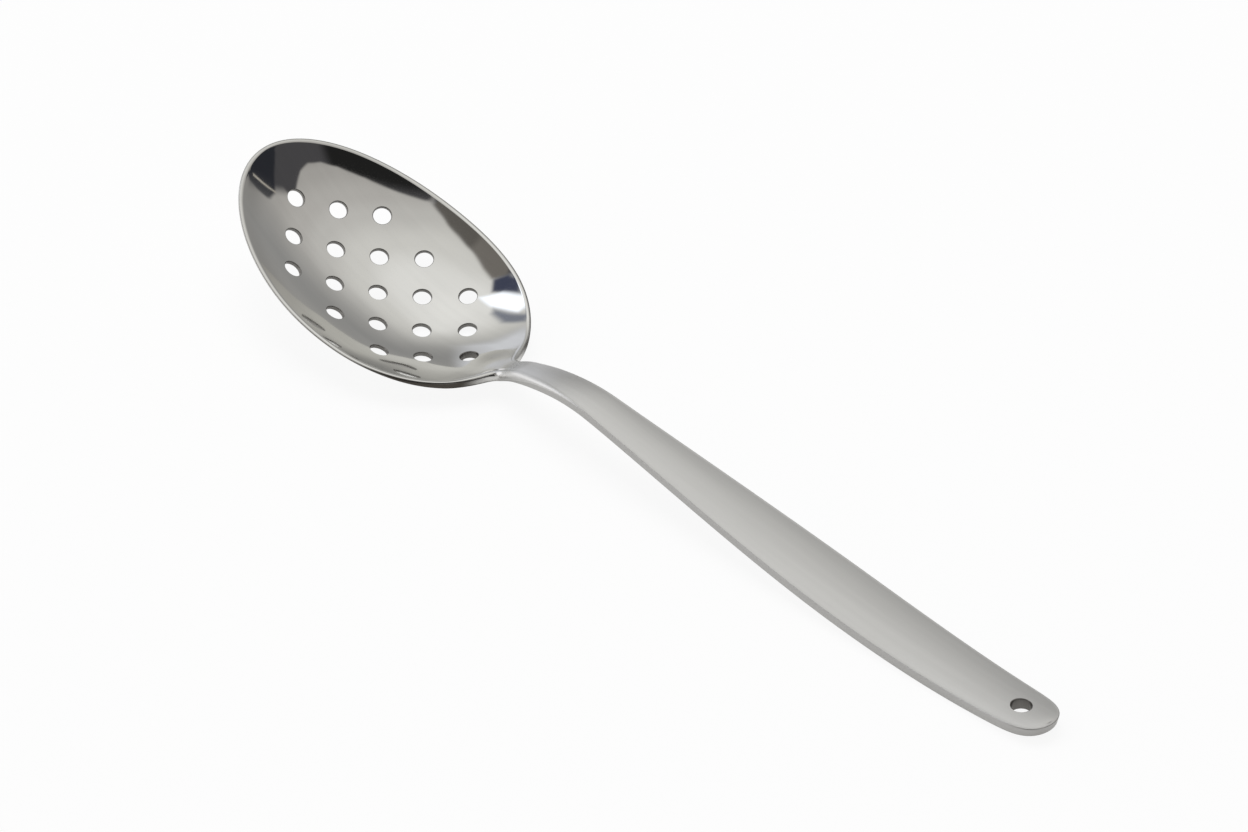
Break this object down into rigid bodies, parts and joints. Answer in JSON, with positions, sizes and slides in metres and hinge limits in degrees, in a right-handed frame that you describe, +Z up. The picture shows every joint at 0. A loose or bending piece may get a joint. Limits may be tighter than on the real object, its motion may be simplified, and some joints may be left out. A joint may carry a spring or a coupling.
{
  "type": "slotted spoon",
  "caption": "Perforated serving spoon in one piece of steel: a shallow egg-shaped bowl with round drain holes, an arched neck and a flat tapered handle with a hanging hole.",
  "frame": {"origin": "middle of the spoon's length on the surface it lies on, under its plane of symmetry", "axes": "+X from the bowl's tip towards the handle's end, +Y across the spoon, +Z up from the surface it lies on"},
  "size_m": [0.3302, 0.0738, 0.0334],
  "materials": {
    "steel": "bowl polished bright, neck and handle satin brushed along their length"
  },
  "bodies": {
    "root": {"spoon": "steel"}
  },
  "joints": []
}
